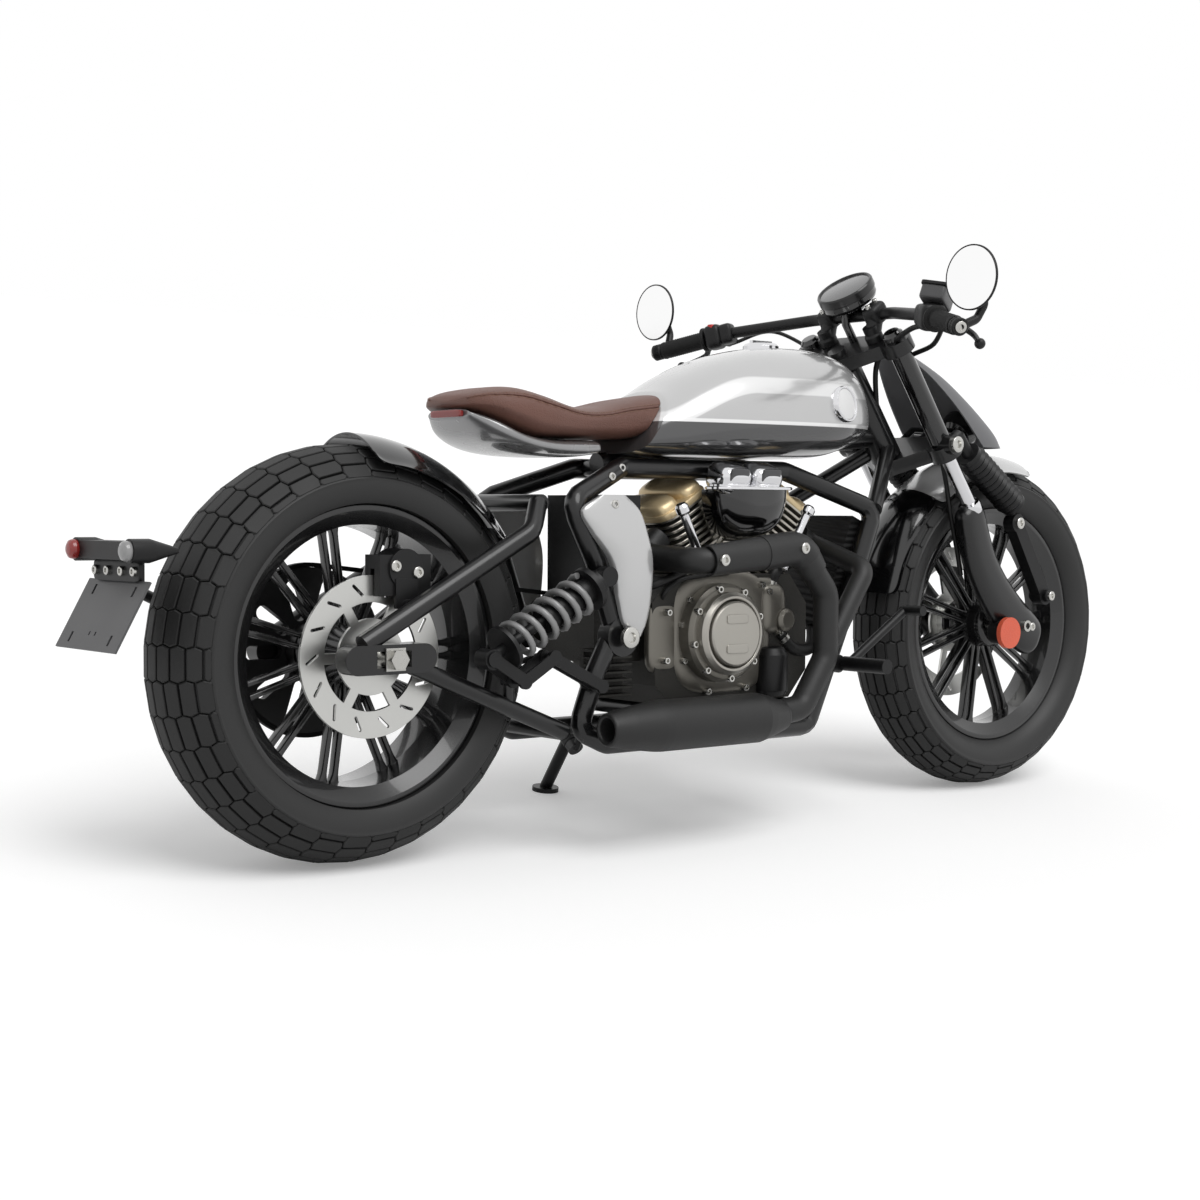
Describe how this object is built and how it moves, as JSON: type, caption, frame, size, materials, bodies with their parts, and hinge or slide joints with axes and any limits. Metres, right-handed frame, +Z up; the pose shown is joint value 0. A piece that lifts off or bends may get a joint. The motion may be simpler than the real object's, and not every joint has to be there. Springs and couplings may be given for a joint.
{
  "type": "bobber motorcycle",
  "caption": "V-twin bobber motorcycle parked on its side stand, with a low solo seat, fat tyres, belt drive, steering fork and freely turning wheels.",
  "frame": {"origin": "on the ground, below the middle of the motorcycle's length and of its mirrors", "axes": "+X forward, +Y to the left, +Z up; the motorcycle leans 7 degrees to the left on its side stand"},
  "size_m": [2.221, 0.9098, 1.0309],
  "materials": {
    "tyre": "matt rubber",
    "wheel_black": "gloss black",
    "disc_steel": "ground steel",
    "frame_black": "satin black",
    "zinc_steel": "plated steel",
    "spring_grey": "satin grey",
    "gloss_black": "gloss black",
    "belt_rubber": "matt rubber",
    "case_dark": "bead-blasted cast aluminium",
    "fin_silver": "cast aluminium",
    "gold_cover": "champagne gold anodised",
    "cover_silver": "cast silver cover",
    "chrome": "polished",
    "exhaust_black": "matt high-temperature black",
    "silver_paint": "silver paint with clear coat",
    "grey_paint": "grey paint with clear coat",
    "leather_brown": "brown leather",
    "lamp_red": "red lens",
    "plate_grey": "bare grey plate",
    "grip_rubber": "matt rubber",
    "mirror_glass": "mirror",
    "reflector_amber": "orange reflector",
    "gauge_dark": "smoked glass"
  },
  "bodies": {
    "chassis": {"frame": "frame_black", "swingarm": "frame_black", "rear_axle": "zinc_steel", "rear_shock": "frame_black", "rear_spring": "spring_grey", "rocker_links": "frame_black", "rear_fender": "gloss_black", "rear_caliper": "frame_black", "drive_belt": "belt_rubber", "crankcase": "case_dark", "cylinders": "fin_silver", "head_covers": "gold_cover", "engine_covers": "cover_silver", "air_cleaner": "gloss_black", "intake_chrome": "chrome", "exhaust": "exhaust_black", "heat_shield": "exhaust_black", "radiator": "frame_black", "battery_box": "frame_black", "rectifier": "case_dark", "side_covers": "silver_paint", "fuel_tank": "silver_paint", "tank_trim": "chrome", "seat": "leather_brown", "seat_pan": "grey_paint", "tail_lamps": "lamp_red", "plate_carrier": "frame_black", "plate": "plate_grey", "foot_controls": "frame_black"},
    "rear_wheel": {"rear_tyre": "tyre", "rear_rim": "wheel_black", "rear_disc": "disc_steel", "drive_pulley": "frame_black"},
    "front_wheel": {"front_tyre": "tyre", "front_rim": "wheel_black", "front_disc": "disc_steel"},
    "fork": {"yokes": "frame_black", "fork_legs": "gloss_black", "fork_shocks": "frame_black", "front_axle": "zinc_steel", "front_fender": "silver_paint", "fender_extension": "gloss_black", "front_caliper": "frame_black", "cowl": "grey_paint", "headlight": "frame_black", "gauge": "gauge_dark", "handlebars": "frame_black", "grips": "grip_rubber", "hand_controls": "frame_black", "mirrors": "mirror_glass", "reflectors": "reflector_amber"},
    "side_stand": {"side_stand": "frame_black"}
  },
  "joints": [
    {"name": "steering", "type": "hinge", "parent": "chassis", "child": "fork", "pos_m": [0.39335, -0.01377, 0.81463], "axis": [-0.5807, 0.0992, 0.808], "range_deg": [-30, 30]},
    {"name": "front_spin", "type": "hinge", "parent": "fork", "child": "front_wheel", "pos_m": [0.785, -0.07471, 0.31836], "axis": [0, 0.9925, -0.1219], "continuous": true},
    {"name": "rear_spin", "type": "hinge", "parent": "chassis", "child": "rear_wheel", "pos_m": [-0.695, -0.07471, 0.31836], "axis": [0, 0.9925, -0.1219], "continuous": true},
    {"name": "stand_fold", "type": "hinge", "parent": "chassis", "child": "side_stand", "pos_m": [-0.12, 0.06763, 0.1155], "axis": [0, 0.8387, 0.5446], "range_deg": [0, 90]}
  ]
}
